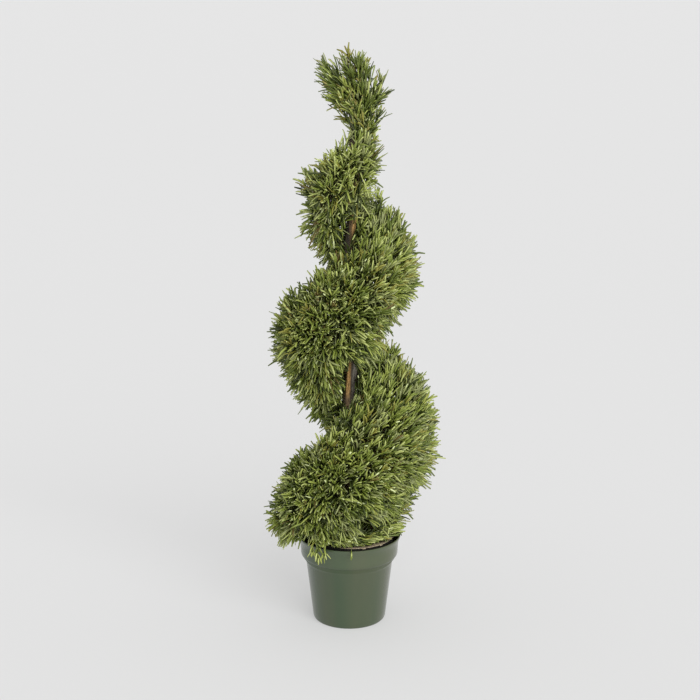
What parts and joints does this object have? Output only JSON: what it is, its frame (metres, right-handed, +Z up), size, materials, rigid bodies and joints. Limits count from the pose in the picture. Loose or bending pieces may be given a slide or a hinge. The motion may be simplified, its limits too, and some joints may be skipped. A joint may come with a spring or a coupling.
{
  "type": "artificial spiral topiary in a round pot",
  "caption": "Artificial clipped evergreen whose needle foliage winds as a tapering spiral up a thin trunk, standing in a round green plastic pot.",
  "frame": {"origin": "centre of the pot's flat underside", "axes": "+Z up along the pot's axis; -Y towards the side from which the pot's hanging sprig is seen at the front left; +X to the right from there"},
  "size_m": [0.371, 0.3728, 1.22],
  "materials": {
    "pot_plastic": "satin",
    "plug": "matte",
    "trunk_wood": "matte",
    "foliage": "satin"
  },
  "bodies": {
    "root": {"pot": "pot_plastic", "planting_plug": "plug", "trunk": "trunk_wood", "foliage_low_front": "foliage", "foliage_turn1_right": "foliage", "foliage_turn1_back": "foliage", "foliage_turn1_left": "foliage", "foliage_turn1_front": "foliage", "foliage_turn2_right": "foliage", "foliage_turn2_back": "foliage", "foliage_turn2_left": "foliage", "foliage_turn2_front": "foliage", "foliage_turn3_right": "foliage", "foliage_turn3_back": "foliage", "foliage_turn3_left": "foliage", "foliage_turn3_front": "foliage", "foliage_turn4_right": "foliage", "foliage_tip": "foliage"}
  },
  "joints": []
}
